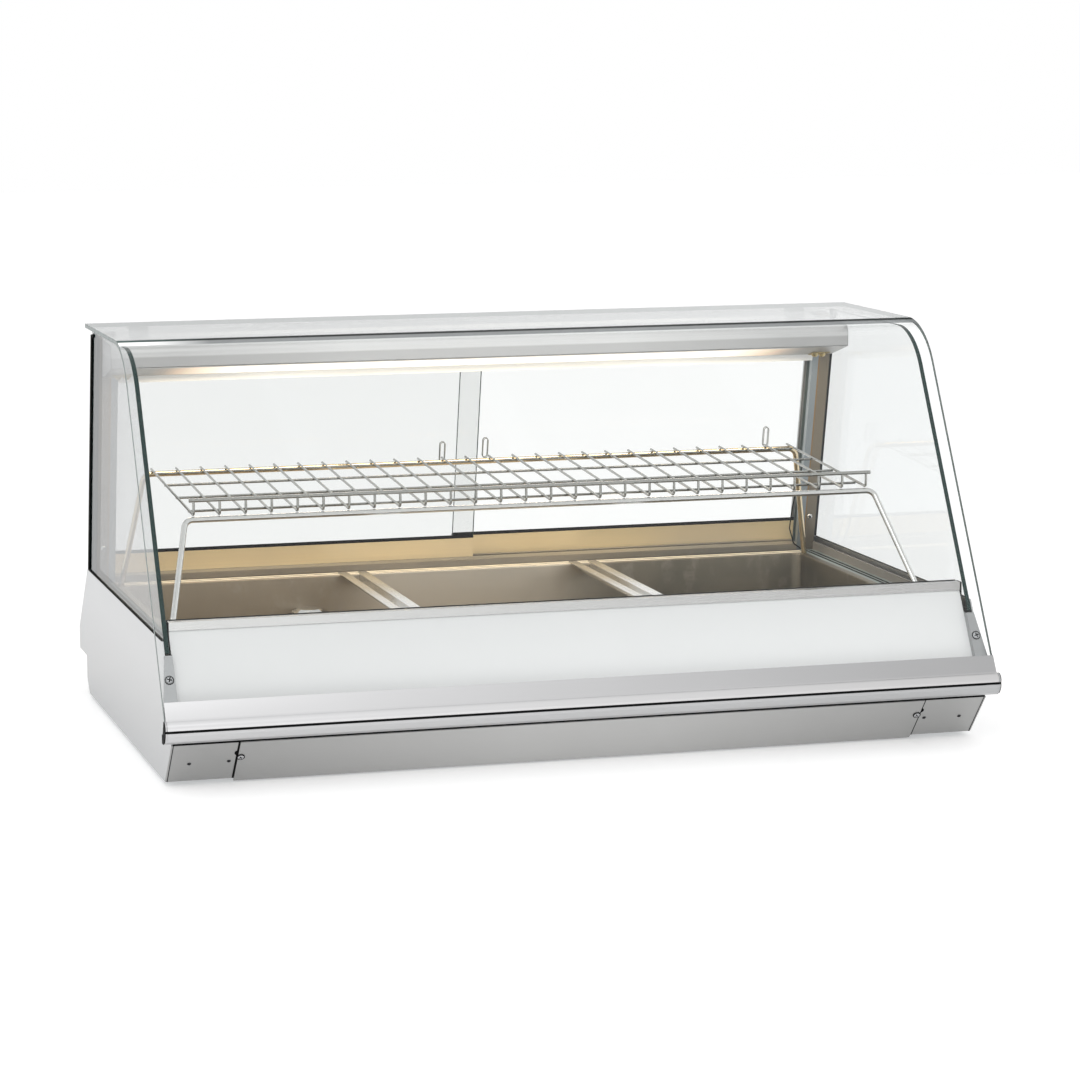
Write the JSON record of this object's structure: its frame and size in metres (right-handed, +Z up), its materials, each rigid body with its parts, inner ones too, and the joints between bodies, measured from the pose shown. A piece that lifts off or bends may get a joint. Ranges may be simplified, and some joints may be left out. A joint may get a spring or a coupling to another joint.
{
  "type": "heated display case",
  "caption": "Countertop heated display case with a curved tilting glass front, rear sliding doors, wire shelf and pan well.",
  "frame": {"origin": "middle of the case's footprint on the counter", "axes": "+X to the customer's right along the case, -Y towards the customer, +Z up"},
  "size_m": [1.13, 0.778, 0.548],
  "materials": {
    "side_steel": "satin",
    "white_paint": "gloss",
    "brushed_steel": "brushed",
    "well_steel": "brushed",
    "aluminium": "satin",
    "clear_glass": "polished",
    "lamp_glass": "polished",
    "chrome": "polished",
    "rubber": "matte",
    "black_plastic": "matte",
    "galvanised": "galvanised",
    "brass": "satin",
    "heater_steel": "dull"
  },
  "bodies": {
    "case": {"base_pan": "galvanised", "bracket_screw_left": "chrome", "bracket_screw_right": "chrome", "bumper_rail": "aluminium", "door_header": "aluminium", "door_track_lower": "aluminium", "drain_outlet": "brass", "drain_tap": "brass", "foot_front_left": "rubber", "foot_front_right": "rubber", "foot_rear_left": "rubber", "foot_rear_right": "rubber", "front_bracket_left": "brushed_steel", "front_bracket_right": "brushed_steel", "front_panel": "white_paint", "front_panel_trim": "aluminium", "glass_hinge_rod": "chrome", "glass_rest_left": "black_plastic", "glass_rest_right": "black_plastic", "heating_element": "heater_steel", "lamp_canopy": "aluminium", "lamp_left": "lamp_glass", "lamp_middle": "lamp_glass", "lamp_reflector": "aluminium", "lamp_right": "lamp_glass", "plinth_access_panel": "brushed_steel", "plinth_corner_left": "brushed_steel", "plinth_corner_right": "brushed_steel", "plinth_screw_left": "chrome", "plinth_screw_right": "chrome", "power_inlet_gland": "black_plastic", "rear_control_panel": "brushed_steel", "rear_lower_cover": "galvanised", "rear_post_left": "aluminium", "rear_post_right": "aluminium", "side_ledge_left": "aluminium", "side_ledge_right": "aluminium", "side_pane_left": "clear_glass", "side_pane_right": "clear_glass", "side_panel_left": "side_steel", "side_panel_right": "side_steel", "terminal_box": "galvanised", "thermostat": "black_plastic", "well_tank": "well_steel"},
    "front_glass_assembly": {"glass_hinge_profile": "aluminium", "front_glass": "clear_glass"},
    "door_left": {"door_left_rail": "aluminium", "door_left_pane": "clear_glass"},
    "door_right": {"door_right_rail": "aluminium", "door_right_pane": "clear_glass"},
    "wire_shelf": {"shelf_frame_front": "chrome", "shelf_frame_rear": "chrome", "shelf_grid": "chrome"},
    "left_pan_bar": {"pan_bar_left": "brushed_steel"},
    "right_pan_bar": {"pan_bar_right": "brushed_steel"},
    "standpipe": {"overflow_standpipe": "chrome"},
    "knob": {"thermostat_knob": "black_plastic"},
    "heat_rocker": {"heat_switch": "black_plastic"},
    "lamp_rocker": {"lamp_switch": "black_plastic"},
    "tap_lever": {"drain_tap_lever": "rubber"}
  },
  "joints": [
    {"name": "front_glass_tilt", "type": "hinge", "parent": "case", "child": "front_glass_assembly", "pos_m": [0, -0.38, 0.089], "axis": [1, 0, 0], "range_deg": [0, 60]},
    {"name": "door_left_slide", "type": "slide", "parent": "case", "child": "door_left", "axis": [1, 0, 0], "range_m": [0, 0.505]},
    {"name": "door_right_slide", "type": "slide", "parent": "case", "child": "door_right", "axis": [-1, 0, 0], "range_m": [0, 0.505]},
    {"name": "shelf_lift", "type": "slide", "parent": "case", "child": "wire_shelf", "axis": [0, 0, 1], "range_m": [0, 0.08]},
    {"name": "pan_bar_left_lift", "type": "slide", "parent": "case", "child": "left_pan_bar", "axis": [0, 0, 1], "range_m": [0, 0.06]},
    {"name": "pan_bar_right_lift", "type": "slide", "parent": "case", "child": "right_pan_bar", "axis": [0, 0, 1], "range_m": [0, 0.06]},
    {"name": "standpipe_lift", "type": "slide", "parent": "case", "child": "standpipe", "axis": [0, 0, 1], "range_m": [0, 0.05]},
    {"name": "thermostat_knob_turn", "type": "hinge", "parent": "case", "child": "knob", "pos_m": [-0.33, 0.35235, 0.13054], "axis": [0, 0.7418, 0.6706], "range_deg": [0, 270]},
    {"name": "heat_switch_rock", "type": "hinge", "parent": "case", "child": "heat_rocker", "pos_m": [-0.22, 0.35235, 0.13054], "axis": [1, 0, 0], "range_deg": [0, 18]},
    {"name": "lamp_switch_rock", "type": "hinge", "parent": "case", "child": "lamp_rocker", "pos_m": [-0.175, 0.35235, 0.13054], "axis": [1, 0, 0], "range_deg": [0, 18]},
    {"name": "drain_tap_lever_turn", "type": "hinge", "parent": "case", "child": "tap_lever", "pos_m": [-0.248, 0.3476, 0.0493], "axis": [0, 0, -1], "range_deg": [0, 90]}
  ]
}
